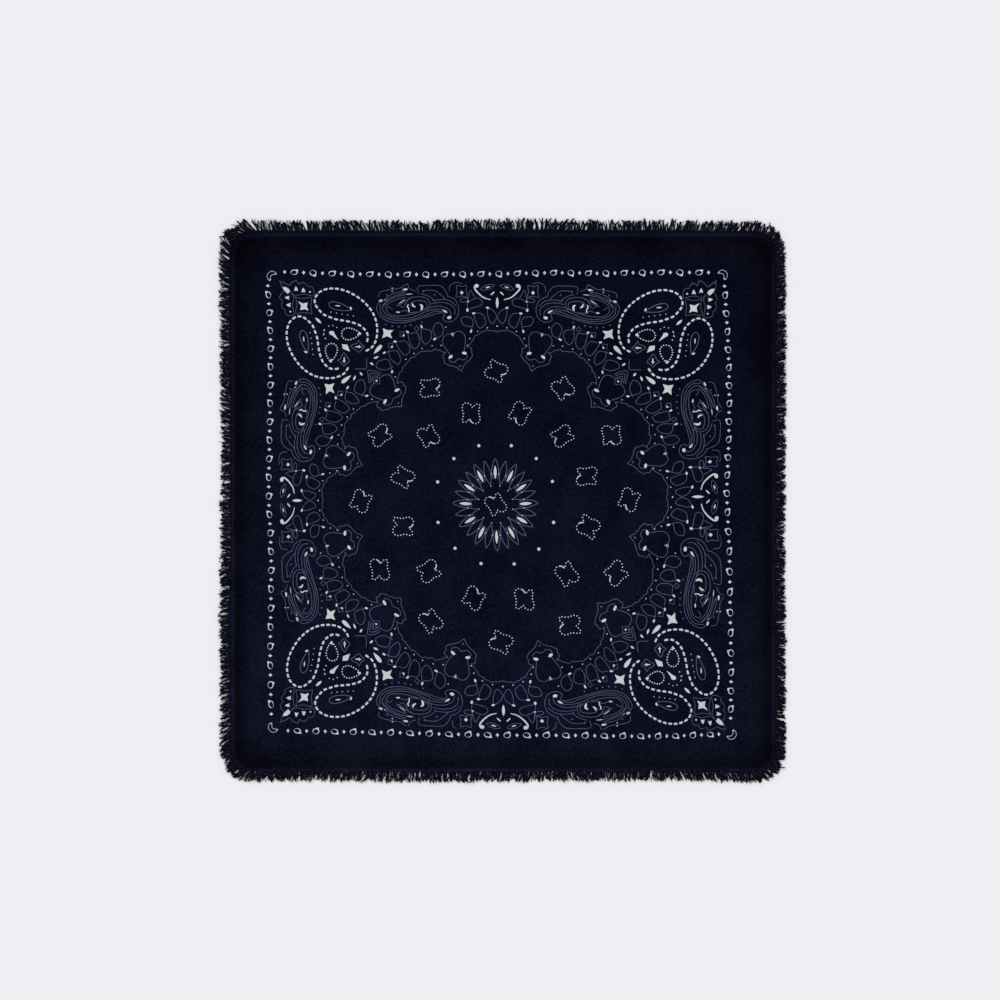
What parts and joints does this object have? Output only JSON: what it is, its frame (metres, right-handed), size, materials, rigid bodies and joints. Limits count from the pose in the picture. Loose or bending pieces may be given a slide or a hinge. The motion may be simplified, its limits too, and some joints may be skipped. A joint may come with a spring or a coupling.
{
  "type": "fringed square bandana",
  "caption": "Square wool bandana laid flat, with a soft raised rim inside a locking seam and a short frayed fringe on all sides.",
  "frame": {"origin": "middle of the outline, fringe included, on the surface the cloth lies on", "axes": "+Z out of the printed face, +Y to the upper edge of the print, +X to its right edge"},
  "size_m": [0.5592, 0.5532, 0.0023],
  "materials": {
    "cloth": "felted wool twill, matt with a soft nap, printed in off-white",
    "fringe": "loose frayed wool yarns, matt",
    "thread": "spun sewing thread, slight sheen"
  },
  "bodies": {
    "root": {"cloth_square": "cloth", "fringe_right": "fringe", "fringe_back": "fringe", "fringe_left": "fringe", "fringe_front": "fringe"}
  },
  "joints": []
}
